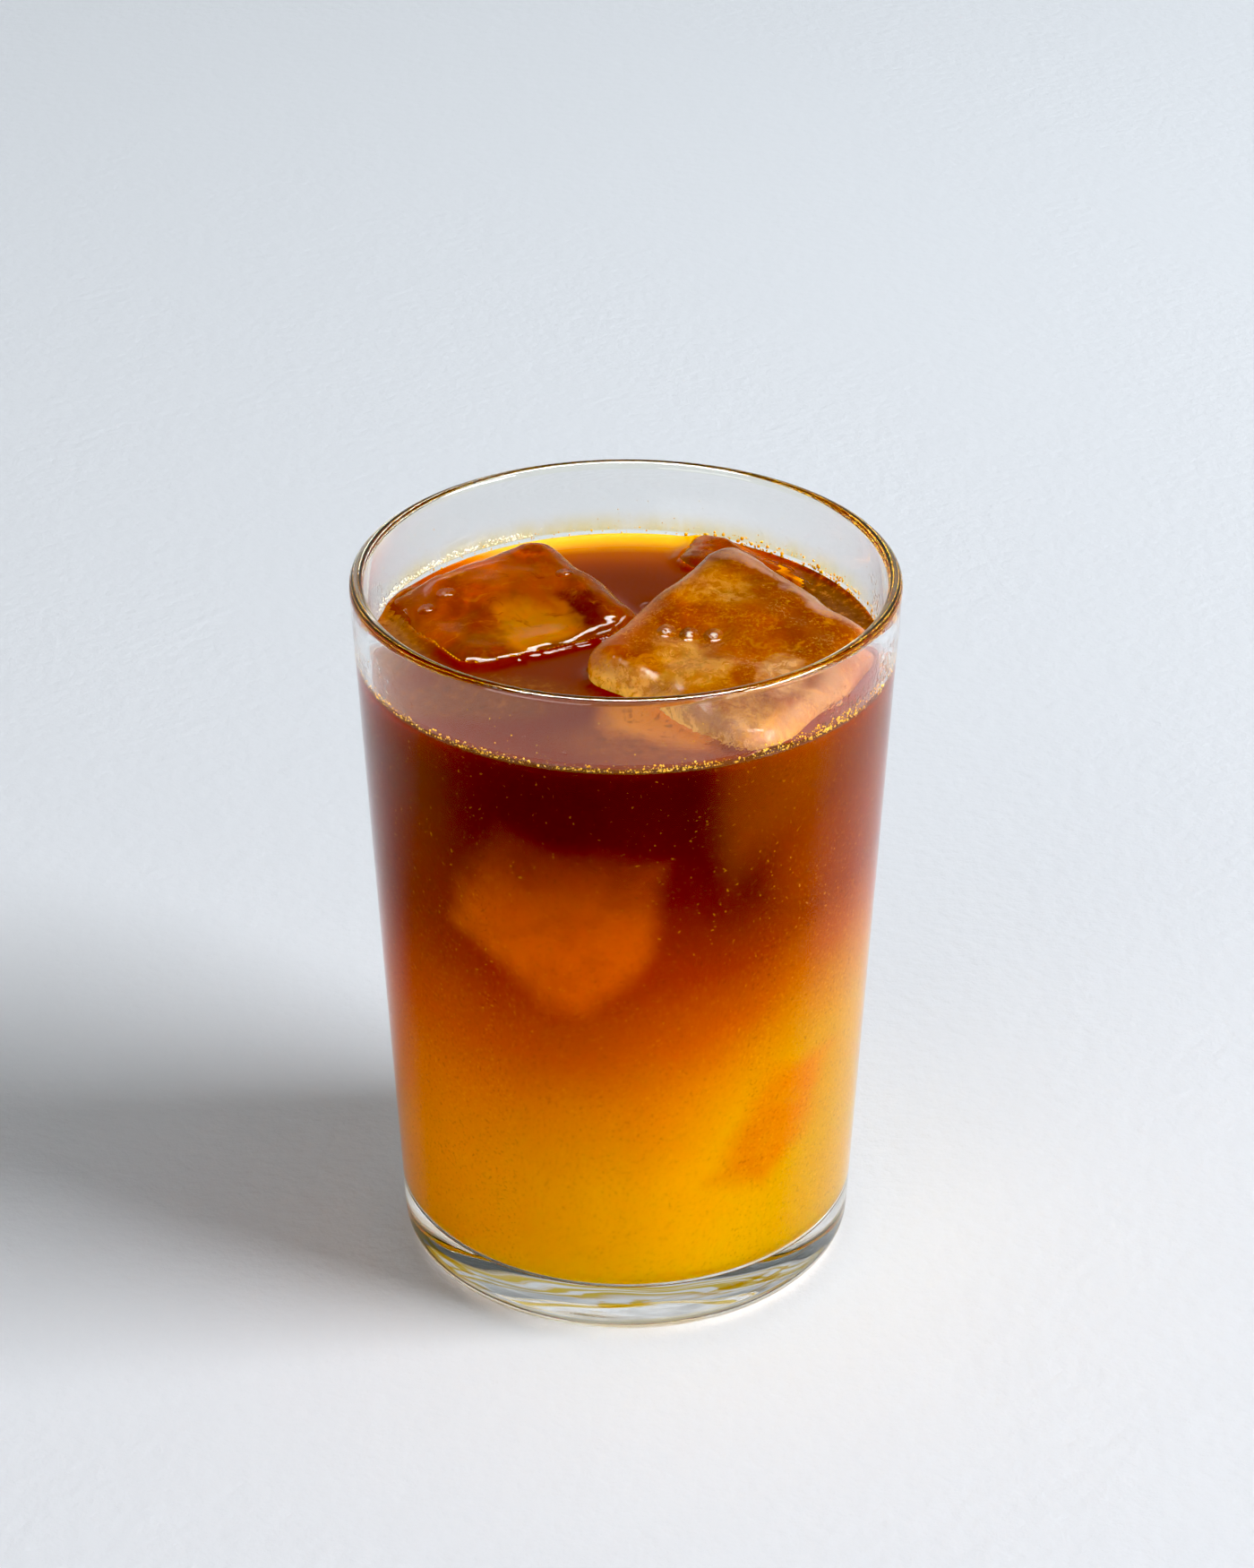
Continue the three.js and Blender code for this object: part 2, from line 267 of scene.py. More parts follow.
class Paint:
    """The nodes of a material or of the world, built by calls that take sockets, numbers or colours."""

    def __init__(self, name, kept_in=None):
        self.owner = (bpy.data.materials if kept_in is None else kept_in).new(name)
        self.owner.use_nodes = True
        self.tree = self.owner.node_tree
        self.tree.nodes.clear()

    def node(self, kind, inputs=None, **settings):
        made = self.tree.nodes.new(kind)
        for key, value in settings.items():
            setattr(made, key, value)
        for key, value in (inputs or {}).items():
            if isinstance(value, bpy.types.NodeSocket):
                self.tree.links.new(value, made.inputs[key])
            else:
                made.inputs[key].default_value = value
        return made

    def maths(self, operation, *values):
        return self.node("ShaderNodeMath", dict(enumerate(values)), operation=operation).outputs[0]

    def times(self, first, second):
        return self.maths("MULTIPLY", first, second)

    def vector(self, operation, *values):
        made = self.node("ShaderNodeVectorMath", dict(enumerate(values)), operation=operation)
        return made.outputs["Value" if operation in ("LENGTH", "DOT_PRODUCT") else "Vector"]

    def place(self):
        return self.node("ShaderNodeTexCoord").outputs["Object"]

    def parts(self, vector):
        return self.node("ShaderNodeSeparateXYZ", {0: vector}).outputs

    def noise(self, vector, size, detail=2.0, roughness=0.5, distortion=0.0):
        """Cloud noise whose blobs are about size millimetres across, from 0 to 1."""
        return self.node("ShaderNodeTexNoise", {
            "Vector": vector, "Scale": 1 / (size * MM), "Detail": detail, "Roughness": roughness,
            "Distortion": distortion}).outputs["Fac"]

    def clouds_away(self, vector, size):
        """Three clouds about size millimetres across as a vector round zero, to stir a pattern with."""
        clouds = self.node("ShaderNodeTexNoise", {"Vector": vector, "Scale": 1 / (size * MM), "Detail": 3.0})
        return self.vector("SUBTRACT", clouds.outputs["Color"], (0.5, 0.5, 0.5))

    def stirred(self, vector, size, reach):
        """The place moved by up to about reach millimetres, by clouds about size millimetres across."""
        away = self.vector("MULTIPLY", self.clouds_away(vector, size), (2 * reach * MM,) * 3)
        return self.vector("ADD", vector, away)

    def ranged(self, value, low, high, to_low=0.0, to_high=1.0, smooth=True):
        """Carries low to high over to another range, and holds it at the ends."""
        return self.node("ShaderNodeMapRange", {
            "Value": value, "From Min": low, "From Max": high, "To Min": to_low, "To Max": to_high},
            interpolation_type="SMOOTHSTEP" if smooth else "LINEAR").outputs["Result"]

    def ranged_mm(self, length, low, high, to_low=0.0, to_high=1.0):
        """The same for a length, with low and high in millimetres."""
        return self.ranged(length, low * MM, high * MM, to_low, to_high)

    def mixed(self, share, first, second, blend="MIX"):
        """The second colour over the first, by a share from 0 to 1."""
        inputs = {0: share, 6: opaque(first), 7: opaque(second)}
        return self.node("ShaderNodeMix", inputs, data_type="RGBA", blend_type=blend).outputs[2]

    def ramp(self, value, stops):
        """A colour ramp with stops given as (place from 0 to 1, colour)."""
        made = self.node("ShaderNodeValToRGB", {0: value})
        points = made.color_ramp.elements
        while len(points) < len(stops):
            points.new(0.5)
        for point, (place, colour) in zip(points, stops):
            point.position = place
            point.color = opaque(colour)
        return made.outputs["Color"]

    def blob(self, vector, centre, radii, inner, outer):
        """1 inside an ellipsoid and 0 outside, fading from inner to outer times its radii."""
        scaled = self.vector("DIVIDE", self.vector("SUBTRACT", vector, centre), radii)
        return self.ranged(self.vector("LENGTH", scaled), inner, outer, 1.0, 0.0)

    def patch_glow(self, vector, corners, soft):
        """1 inside a flat outline on the front, given as (x, z) corners in clockwise order, in millimetres.

        The nearest edge counts, and the glow falls smoothly to 0 from soft inside it to soft outside. It
        stays on the near side: from 14 to 8 mm in front of the axis it fades out."""
        corners = np.array(corners, float) * MM
        nearest = None
        for start, end in zip(corners, np.roll(corners, -1, axis=0)):
            along = (end - start) / np.linalg.norm(end - start)
            inward = (along[1], 0.0, -along[0])
            reach = self.vector("DOT_PRODUCT", vector, inward)
            inside = self.maths("SUBTRACT", reach, float(inward[0] * start[0] + inward[2] * start[1]))
            nearest = inside if nearest is None else self.maths("MINIMUM", nearest, inside)
        in_front = self.ranged_mm(self.parts(vector)[1], -8, -14)
        return self.times(self.ranged_mm(nearest, -soft, soft), in_front)

    def bump(self, height, depth, strength=1.0, normal=None):
        inputs = {"Height": height, "Distance": depth * MM, "Strength": strength}
        if normal is not None:
            inputs["Normal"] = normal
        return self.node("ShaderNodeBump", inputs).outputs["Normal"]

    def surface(self, **inputs):
        named = {key.replace("_", " "): value for key, value in inputs.items()}
        return self.node("ShaderNodeBsdfPrincipled", named).outputs["BSDF"]

    def lit_through(self, shader, tint):
        """The shader for the eye, and clear with a tint for shadows, so that lamps light what lies behind."""
        clear = self.node("ShaderNodeBsdfTransparent", {"Color": opaque(tint)}).outputs[0]
        is_shadow = self.node("ShaderNodeLightPath").outputs["Is Shadow Ray"]
        return self.node("ShaderNodeMixShader", {0: is_shadow, 1: shader, 2: clear}).outputs[0]

    def done(self, shader, output="ShaderNodeOutputMaterial"):
        self.node(output, {"Surface": shader})
        return self.owner


GLASS_IOR, DRINK_IOR = 1.5, 1.34
# Colours of the painted juice reflection in the base, and of the film above the drink
OCHRE_STREAK, GREY_STREAK, YELLOW_FILM = (0.66, 0.36, 0.02), (0.36, 0.37, 0.36), (0.97, 0.80, 0.36)


def painted_juice_image(p, cast):
    """A painted reflection of the juice above, as the thick base shows it: thin ochre and grey lines that run
    round it.

    They are noise on the direction from the axis and five times the height, and fade to half below 5 mm."""
    place = p.place()
    z = p.parts(place)[2]
    direction = p.vector("NORMALIZE", p.vector("MULTIPLY", place, (1.0, 1.0, 0.0)))
    height = p.node("ShaderNodeCombineXYZ", {2: p.times(z, 5.0)}).outputs[0]
    round_it = p.vector("ADD", p.vector("MULTIPLY", direction, (14 * MM,) * 3), height)
    lines = p.noise(round_it, 8, 4, 0.6, 0.3)
    in_base = p.times(p.ranged_mm(z, 1, 5, 0.5, 1.0), p.ranged_mm(z, FLOOR + 0.1, FLOOR - 0.7))
    colour = p.mixed(p.times(p.ranged(lines, 0.50, 0.56), in_base), cast, OCHRE_STREAK)
    return p.mixed(p.times(p.ranged(lines, 0.45, 0.40, 0.0, 0.6), in_base), colour, GREY_STREAK)


def splashes(p, cast):
    """A thin smeared film over the far side of the drink, as a colour, and drops in clouds, as a normal."""
    place = p.place()
    _, y, z = p.parts(place)
    smear = p.noise(p.vector("MULTIPLY", place, (1.0, 1.0, 0.35)), 4, 4, 0.7)
    film = p.times(p.ranged_mm(z, LEVEL + 0.3, LEVEL + 5, 1.0, 0.0), p.ranged_mm(y, 8, 24))
    film = p.times(film, p.ranged(smear, 0.3, 0.62, 0.25, 1.0))
    wet = p.times(p.ranged(p.noise(place, 7, 3), 0.50, 0.62), p.ranged_mm(z, LEVEL + 9, LEVEL + 3))
    drops = p.ranged(p.noise(place, 0.8, 1), 0.5, 0.75)
    return p.mixed(film, cast, YELLOW_FILM), p.bump(p.times(drops, wet), 0.05)


def glass_material(name, cast, head_on, juice_image_painted=False, splashed=False):
    """Clear glass with a faint olive cast, with a painted reflection of the juice as streaks in its base, or
    splashes above the drink.

    head_on is how much of the real mirror image it keeps where it is met straight on."""
    p = Paint(name)
    inputs = dict(Base_Color=opaque(cast), Roughness=0.0, IOR=GLASS_IOR, Transmission_Weight=1.0,
                  Specular_Tint=opaque((head_on,) * 3))
    if juice_image_painted:
        inputs["Base_Color"] = painted_juice_image(p, cast)
    if splashed:
        inputs["Base_Color"], inputs["Normal"] = splashes(p, cast)
    return p.done(p.lit_through(p.surface(**inputs), (0.94, 0.95, 0.94)))


# Colours from the bottom of the juice to the top of the coffee, by share of the way
JUICE_TO_COFFEE = [
    (0.0, (0.69, 0.365, 0.0012)),
    (0.25, (0.69, 0.325, 0.001)),
    (0.40, (0.61, 0.20, 0.0008)),
    (0.50, (0.49, 0.095, 0.0005)),
    (0.62, (0.30, 0.030, 0.0004)),
    (0.78, (0.125, 0.009, 0.0003)),
    (1.0, (0.050, 0.003, 0.0003)),
]

# Sunk ice as (x, z) outlines on the front, painted on the drink's side as glowing patches: behind the front
# wall, under the right cube and low on the right
SUNK_IN_FRONT = [(-19, 94.5), (6, 91), (4.5, 80), (-0.5, 69), (-6, 64), (-13, 65), (-25, 76.5), (-23.5, 87)]
SUNK_UNDER = [(13, 112), (34, 112), (30, 100), (17, 88), (14, 98)]
SUNK_LOW = [(21.9, 49.5), (31.5, 46.2), (27, 31), (22, 26), (14.5, 29.8)]


def above_layer(p, place):
    """How far a point is above the change from juice to coffee, in millimetres, with slow clouds.

    The change rises to the right by a hyperbolic tangent of x."""
    x, _, z = p.parts(place)
    right = p.maths("DIVIDE", p.maths("SUBTRACT", x, LAYER_MIDDLE_X * MM), LAYER_RUN * MM)
    rise = p.maths("TANH", right)
    layer = p.maths("MULTIPLY_ADD", rise, LAYER_RISE / 2 * MM, (LAYER_LOW + LAYER_RISE / 2) * MM)
    cloud = p.maths("MULTIPLY_ADD", p.noise(place, 28, 3), 9 * MM, -4.5 * MM)
    return p.maths("DIVIDE", p.maths("ADD", p.maths("SUBTRACT", z, layer), cloud), MM)


def drink_side_material():
    """Cloudy juice below, dark coffee above, a soft change, a painted glow of sunk ice and painted shade.

    It meets the glass without air between, so it mirrors only what meets it at a low angle from the glass."""
    p = Paint("coffee over juice")
    place = p.place()
    x, _, z = p.parts(place)
    # Steeper change to the right, with the coffee held lighter there: painted light, as from the key lamp
    # through thin coffee
    above = p.times(above_layer(p, place), p.ranged_mm(x, 2, 24, 1.0, 1.5))
    above = p.maths("MINIMUM", above, p.ranged_mm(x, 8, 30, 60.0, 17.0))
    colour = p.ramp(p.ranged(above, -50, 60, smooth=False), JUICE_TO_COFFEE)
    # Painted shade: redder and darker to the left and right, and at the upper left
    colour = p.mixed(p.ranged_mm(x, -2, -38), colour, (0.92, 0.58, 1.0), "MULTIPLY")
    colour = p.mixed(p.ranged_mm(x, 4, 34), colour, (0.66, 0.66, 0.5), "MULTIPLY")
    upper_left_shade = p.times(p.ranged_mm(x, -16, -40), p.ranged(above, 8, 36))
    colour = p.mixed(upper_left_shade, colour, (0.20, 0.004, 0.0005))
    # The sunk ice, not modelled, as painted glowing patches; the front one is brighter lower down, near the
    # juice
    stirred = p.stirred(place, 14, 3.2)
    mottled = p.ranged(p.noise(place, 6, 4, 0.65), 0.35, 0.6, 0.70, 0.95)
    in_front = p.mixed(p.ranged_mm(z, 95, 72), (0.21, 0.026, 0.0004), (0.60, 0.115, 0.0006))
    for outline, soft, strength, shade in (
        (SUNK_IN_FRONT, 2.7, mottled, in_front),
        (SUNK_UNDER, 4.5, 0.55, (0.30, 0.062, 0.001)),
        (SUNK_LOW, 2.6, mottled, (0.52, 0.155, 0.0008)),
    ):
        colour = p.mixed(p.times(p.patch_glow(stirred, outline, soft), strength), colour, shade)
    # Grains of pulp, light and dark, and a few bright specks
    grain = p.noise(place, 0.55, 3, 0.7)
    in_clear = p.ranged(above, -15, 35, 1.0, 0.25)
    colour = p.mixed(p.times(p.ranged(grain, 0.55, 0.70, 0.0, 0.28), in_clear), colour, (0.85, 0.42, 0.02))
    colour = p.mixed(p.ranged(grain, 0.44, 0.32, 0.0, 0.4), colour, (0.03, 0.004, 0.0002))
    bright = p.ranged(p.noise(place, 0.5, 0), 0.76, 0.82, 0.0, 0.3)
    colour = p.mixed(bright, colour, (0.85, 0.40, 0.04))
    # Painted shade: darker towards the surface, with a dark brown line just under the surface level
    colour = p.mixed(p.ranged_mm(z, 80, 105, 0.0, 0.42), colour, (0.02, 0.002, 0.0002))
    brim_shade = p.ranged_mm(z, LEVEL - 0.7, LEVEL + 0.1)
    colour = p.mixed(brim_shade, colour, (0.07, 0.012, 0.001))
    cloudy = p.surface(
        Base_Color=colour, Roughness=0.6, Specular_IOR_Level=0.0,
        Subsurface_Weight=p.maths("SUBTRACT", 1.0, brim_shade), Subsurface_Radius=(1.0, 0.35, 0.05),
        Subsurface_Scale=0.025)
    mirror = p.node("ShaderNodeBsdfAnisotropic", {"Color": (1, 1, 1, 1), "Roughness": 0.0}).outputs[0]
    grazing = p.node("ShaderNodeFresnel", {"IOR": DRINK_IOR / GLASS_IOR}).outputs[0]
    return p.done(p.node("ShaderNodeMixShader", {0: grazing, 1: cloudy, 2: mirror}).outputs[0])


# Colours of the surface, from over the deep drink to the thin edge at the far wall, where it is painted
# glowing as if lit from behind
DEEP_TO_THIN = [
    (0.0, (0.145, 0.0115, 0.002)),
    (0.3, (0.23, 0.026, 0.002)),
    (0.7, (0.36, 0.065, 0.002)),
    (0.9, (0.60, 0.20, 0.003)),
    (1.0, (0.80, 0.42, 0.006)),
]

# Ice that lies just under the surface: (centre, radii, colour, share), and how deep it is seen
SHALLOWS = [
    ((3, -31), (12, 6), (0.22, 0.045, 0.004), 0.7),
    ((3, -24.5), (6.5, 4.5), (0.54, 0.165, 0.008), 0.85),
    ((9, -28), (6, 5), (0.48, 0.13, 0.006), 0.85),
    ((33, 14), (11, 15), (0.09, 0.022, 0.002), 0.9),
    ((-39, 6), (8, 17), (0.19, 0.06, 0.010), 0.9),
    ((-24, -17), (17, 6), (0.17, 0.045, 0.006), 0.6),
]
SHALLOW_DEPTH = 9


def drink_top_material():
    """The wet surface of the coffee: nearly black red, with a painted yellow glow where it thins at the far
    wall.
    """
    p = Paint("coffee surface")
    place = p.place()
    x, y, _ = p.parts(place)
    radius = p.vector("LENGTH", p.vector("MULTIPLY", place, (1.0, 1.0, 0.0)))
    # Painted glow: the thin coffee at the far wall, lit from behind
    thin = p.times(p.ranged_mm(radius, 22, 40.5), p.ranged_mm(y, 15, 37))
    thin = p.times(thin, p.ranged_mm(x, 14, 26, 1.0, 0.2))
    colour = p.ramp(thin, DEEP_TO_THIN)
    stirred = p.stirred(place, 7, 2.5)
    cloudy = 0.0
    for centre, radii, shade, share in SHALLOWS:
        middle, reach = np.array((*centre, LEVEL)) * MM, np.array((*radii, SHALLOW_DEPTH)) * MM
        shallow = p.times(p.blob(stirred, middle, reach, 0.5, 1.5), share)
        colour = p.mixed(shallow, colour, shade)
        cloudy = p.maths("MAXIMUM", shallow, cloudy)
    murk = p.noise(place, 1.4, 4, 0.75)
    light, dark = p.ranged(murk, 0.52, 0.66, 0.0, 0.5), p.ranged(murk, 0.46, 0.36, 0.0, 0.6)
    colour = p.mixed(p.times(light, cloudy), colour, (0.38, 0.125, 0.012))
    colour = p.mixed(p.times(dark, cloudy), colour, (0.06, 0.008, 0.001))
    return p.done(p.surface(
        Base_Color=colour, Roughness=p.ranged(thin, 0.7, 1.0, 0.03, 0.4), IOR=1.27, Subsurface_Weight=0.3,
        Subsurface_Radius=(1.0, 0.3, 0.05), Subsurface_Scale=0.006))


# The ice: colours on its skin, and the three ambers of its sunk side, from light to dark
# Stains and frost, with a painted highlight, a painted glow and painted white glints
AMBER, TAN, PALE = (0.54, 0.125, 0.001), (0.92, 0.50, 0.12), (0.66, 0.36, 0.14)
BROWN, DARK, GOLD = (0.25, 0.045, 0.002), (0.12, 0.012, 0.001), (0.66, 0.31, 0.05)
YELLOW_GLOW, RIDGE_HIGHLIGHT = (0.95, 0.37, 0.003), (0.54, 0.30, 0.20)
WISP, WHITE_GLINT = (0.66, 0.27, 0.02), (0.92, 0.80, 0.66)
FROSTY = (TAN, PALE, GOLD)
ICE_SKINS = {
    "ice_right": dict(
        tint=(0.35, 0.075, 0.0015), edge=(0.40, 0.17, 0.07), clear=0.35, grain=0.7,
        blisters=[(-0.56, -0.32), (-0.38, -0.22), (-0.2, -0.1)],
        patches=[
            ((-0.6, 0.35, 1), (0.35, 0.3, 0.5), GOLD, 0.55),
            ((0.1, 0.0, 1), (0.45, 0.35, 0.5), AMBER, 0.6),
            ((0.5, 0.5, 1), (0.35, 0.4, 0.5), BROWN, 0.6),
            ((-0.5, -0.7, 1), (0.3, 0.2, 0.5), BROWN, 0.6),
            # A frosted side, painted bright as if glowing, though the key lamp leaves it in shade
            ((-0.35, -1.1, 0.35), (0.85, 0.35, 1.1), TAN, 1.0),
            ((0.62, -0.08, 1), (0.2, 0.2, 0.5), PALE, 0.7),
            ((1.0, -0.2, 0.85), (0.2, 0.5, 0.35), PALE, 0.45),
            ((0.75, -0.9, 0.4), (0.5, 0.5, 0.9), GOLD, 0.7),
            # A painted highlight along the far ridge
            ((-0.2, 0.92, 0.95), (0.8, 0.17, 0.4), RIDGE_HIGHLIGHT, 0.9),
            ((-0.1, -0.55, 1), (0.4, 0.25, 0.5), GOLD, 0.7),
        ],
    ),
    "ice_left": dict(
        tint=(0.42, 0.095, 0.0015), edge=(0.27, 0.07, 0.014), clear=0.62, grain=0.15,
        blisters=[(-0.44, -0.32), (-0.36, -0.6), (-0.1, 0.75)],
        patches=[
            # Yellow patches are a painted glow of light through the ice
            ((0.55, 0.0, 1), (0.5, 0.40, 0.6), YELLOW_GLOW, 0.85),
            ((-0.1, 0.4, 1), (0.5, 0.3, 0.6), AMBER, 0.9),
            ((0.1, -0.35, 1), (0.3, 0.3, 0.6), BROWN, 0.8),
            ((0.6, 0.62, 1), (0.4, 0.16, 0.5), DARK, 0.75),
            ((1.0, -0.3, 0.9), (0.16, 0.55, 0.3), YELLOW_GLOW, 0.9),
            ((1.1, 0.0, 0.2), (0.3, 1.1, 0.65), DARK, 0.8),
            ((-0.5, -0.5, 1), (0.4, 0.4, 0.6), BROWN, 0.4),
            ((0.55, 0.4, 1), (0.3, 0.12, 0.5), YELLOW_GLOW, 0.4),
            ((-0.9, -0.9, 0.6), (0.5, 0.5, 0.8), BROWN, 0.7),
        ],
    ),
    "ice_back": dict(tint=(0.28, 0.05, 0.002), edge=(0.30, 0.10, 0.04), clear=0.5, grain=0.4, patches=[]),
}
STAINS = {
    "ice_right": ((0.72, 0.27, 0.005), (0.50, 0.15, 0.003), (0.24, 0.05, 0.002)),
    "ice_left": ((0.80, 0.30, 0.002), (0.50, 0.15, 0.001), (0.20, 0.035, 0.001)),
    "ice_back": ((0.40, 0.11, 0.006), (0.26, 0.055, 0.003), (0.13, 0.018, 0.002)),
}
BLISTERS_ACROSS = 11.0  # radii of a blister in half an edge of the cube


def blister_domes(p, in_cube, blisters):
    """Round domes on the top: 1 less the square of the distance from the middle of each, in its radii."""
    domes = 0.0
    for blister in blisters:
        away = p.vector("SUBTRACT", in_cube, (*blister, 1.0))
        away = p.vector("LENGTH", p.vector("MULTIPLY", away, (BLISTERS_ACROSS, BLISTERS_ACROSS, 1.0)))
        domes = p.maths("MAXIMUM", p.maths("SUBTRACT", 1.0, p.times(away, away)), domes)
    return domes


def ice_skin_material(name, tint, edge, clear, grain, patches, blisters=()):
    """Wet melting ice, painted in the cube's own coordinates, in which each edge is at 1 or -1.

    Patches are (centre, radii, colour, share). Blisters are places on the top, smooth, each with a painted
    white highlight. Along the edges of the top it is paler, a painted rim highlight, or darker, and grain is
    the strength of the frost in it."""
    p = Paint(name)
    place = p.place()
    in_cube = p.node("ShaderNodeAttribute", attribute_name="in_cube").outputs["Vector"]
    # Clouds of the tint and stirred patches over them, the frosty ones broken up
    stirred = p.vector("ADD", in_cube, p.vector("MULTIPLY", p.clouds_away(place, 7), (0.7, 0.7, 0.7)))
    clouds = p.ranged(p.noise(place, 8, 4, 0.6, 1.2), 0.32, 0.68)
    colour = p.mixed(clouds, [channel * 0.72 for channel in tint], tint)
    frosted = 0.0
    broken = p.ranged(p.noise(place, 2.4, 4, 0.75, 0.5), 0.38, 0.56, 0.5, 1.0)
    for centre, radii, shade, share in patches:
        patch = p.times(p.blob(stirred, centre, radii, 0.55, 1.4), share)
        if shade in FROSTY:
            patch = p.times(patch, broken)
            frosted = p.maths("MAXIMUM", patch, frosted)
        colour = p.mixed(patch, colour, shade)
    # The edges of the top: paler on the right and back cubes, a painted rim highlight, and darker on the left
    a, b, c = p.parts(in_cube)
    border = p.maths("MAXIMUM", p.maths("ABSOLUTE", a), p.maths("ABSOLUTE", b))
    border = p.times(p.ranged(border, 0.82, 0.96), p.ranged(c, 0.75, 0.95))
    border = p.times(border, p.ranged(p.noise(place, 6, 2), 0.3, 0.6, 0.25, 0.9))
    colour = p.mixed(border, colour, edge)
    # Fine frost and wisps
    fine = p.noise(place, 0.6, 4, 0.85)
    cloudy = p.ranged(p.noise(place, 5.5, 3, 0.7, 0.6), 0.40, 0.62, 0.12, 1.0)
    colour = p.mixed(p.times(p.ranged(fine, 0.5, 0.62), p.times(cloudy, grain)), colour, GOLD)
    colour = p.mixed(p.times(p.ranged(fine, 0.44, 0.34), 0.5 * grain), colour, BROWN)
    wisps = p.noise(p.vector("MULTIPLY", p.stirred(place, 9, 6), (1.0, 2.2, 1.0)), 6, 4, 0.65, 1.0)
    colour = p.mixed(p.ranged(wisps, 0.56, 0.72, 0.0, 0.55), colour, WISP)
    colour = p.mixed(p.ranged(wisps, 0.42, 0.30, 0.0, 0.55), colour, BROWN)
    # Blisters, without the other bumps on them, with painted white highlights
    domes = blister_domes(p, in_cube, blisters)
    rough = p.ranged(domes, 0.0, 0.1, 1.0, 0.0)
    glint_spot = p.ranged(domes, 0.72, 0.97, 0.0, 1.25 * grain)
    glint_spot = p.times(glint_spot, p.ranged(p.noise(place, 0.8, 2), 0.38, 0.56))
    colour = p.mixed(glint_spot, colour, WHITE_GLINT)
    share = p.times(p.maths("SUBTRACT", 1.0, frosted), clear)
    share = p.times(share, p.maths("SUBTRACT", 1.0, glint_spot))
    relief = p.bump(p.noise(place, 6, 2, 0.5), 0.12, strength=rough)
    relief = p.bump(p.noise(place, 1.6, 3, 0.6), 0.10 * grain, strength=rough, normal=relief)
    relief = p.bump(fine, 0.03 * grain, strength=rough, normal=relief)
    relief = p.bump(domes, 0.6, normal=relief)
    wet = p.surface(
        Base_Color=colour, Roughness=p.ranged(frosted, 0.0, 0.8, 0.04, 0.3), IOR=1.31, Normal=relief,
        Transmission_Weight=share, Subsurface_Weight=0.7, Subsurface_Radius=(1.0, 0.4, 0.1),
        Subsurface_Scale=0.003, Specular_Tint=(0.8, 0.8, 0.8, 1))
    return p.done(p.lit_through(wet, (0.96, 0.86, 0.6)))


def stained_material(name, light, middle, dark, dark_left=False):
    """The sunk side of the ice, with the drink behind it: swirls of three ambers.

    They may darken to the left."""
    p = Paint(name)
    place = p.place()
    colour = p.ramp(p.noise(place, 6, 5, 0.6, 1.5), [(0.34, dark), (0.48, middle), (0.66, light)])
    if dark_left:
        colour = p.mixed(p.ranged_mm(p.parts(place)[0], -22, -38), colour, (0.10, 0.015, 0.001))
    return p.done(p.surface(
        Base_Color=colour, Roughness=0.5, Specular_IOR_Level=0.0, Subsurface_Weight=0.5,
        Subsurface_Radius=(1.0, 0.45, 0.12), Subsurface_Scale=0.006))


def bits_material(name, size, first, second, roughness, ior, glow):
    """Small wet lumps whose colour drifts between two shades, with light that glows through them."""
    p = Paint(name)
    return p.done(p.surface(
        Base_Color=p.mixed(p.noise(p.place(), size, 1), first, second), Roughness=roughness, IOR=ior,
        Subsurface_Weight=0.5, Subsurface_Radius=glow, Subsurface_Scale=0.001))


def paper_material():
    """Thick white paper with a faint tooth, painted lighter and a little bluer towards the far side, as more
    light would fall there.
    """
    p = Paint("white paper")
    place = p.place()
    tooth = p.maths("ADD", p.noise(place, 3, 4, 0.6), p.times(p.noise(place, 12, 2), 0.6))
    shade = p.mixed(p.noise(place, 90, 2), (0.63, 0.65, 0.685), (0.65, 0.67, 0.70))
    # Painted light: lighter and bluer towards the far side
    shade = p.mixed(p.ranged(p.parts(place)[1], -0.1, 0.6), shade, (0.69, 0.725, 0.765))
    return p.done(p.surface(
        Base_Color=shade, Roughness=0.8, Specular_IOR_Level=0.0, Normal=p.bump(tooth, 0.25)))


# The pieces

def with_mould_waves(points):
    """Moves the base by faint waves in rays and rings, which fade out up to the floor and at the axis."""
    low = np.clip(1 - points[:, 2] / (FLOOR - 1), 0, 1)
    reach = np.hypot(*points[:, :2].T)
    direction = points[:, :2].T / np.maximum(reach, 1e-3)
    along = np.stack([*direction * MOULD_RAYS, MOULD_RINGS * (reach + points[:, 2])], -1)
    ripple = waves(along, MOULD_LENGTH, 21) * low * np.clip(reach / MOULD_CALM, 0, 1)
    points[:, :2] *= 1 + MOULD_SHARE * ripple[:, None]
    off_ground = points[:, 2] > 0.02
    points[:, 2] += MOULD_HEIGHT * ripple * off_ground
    return points


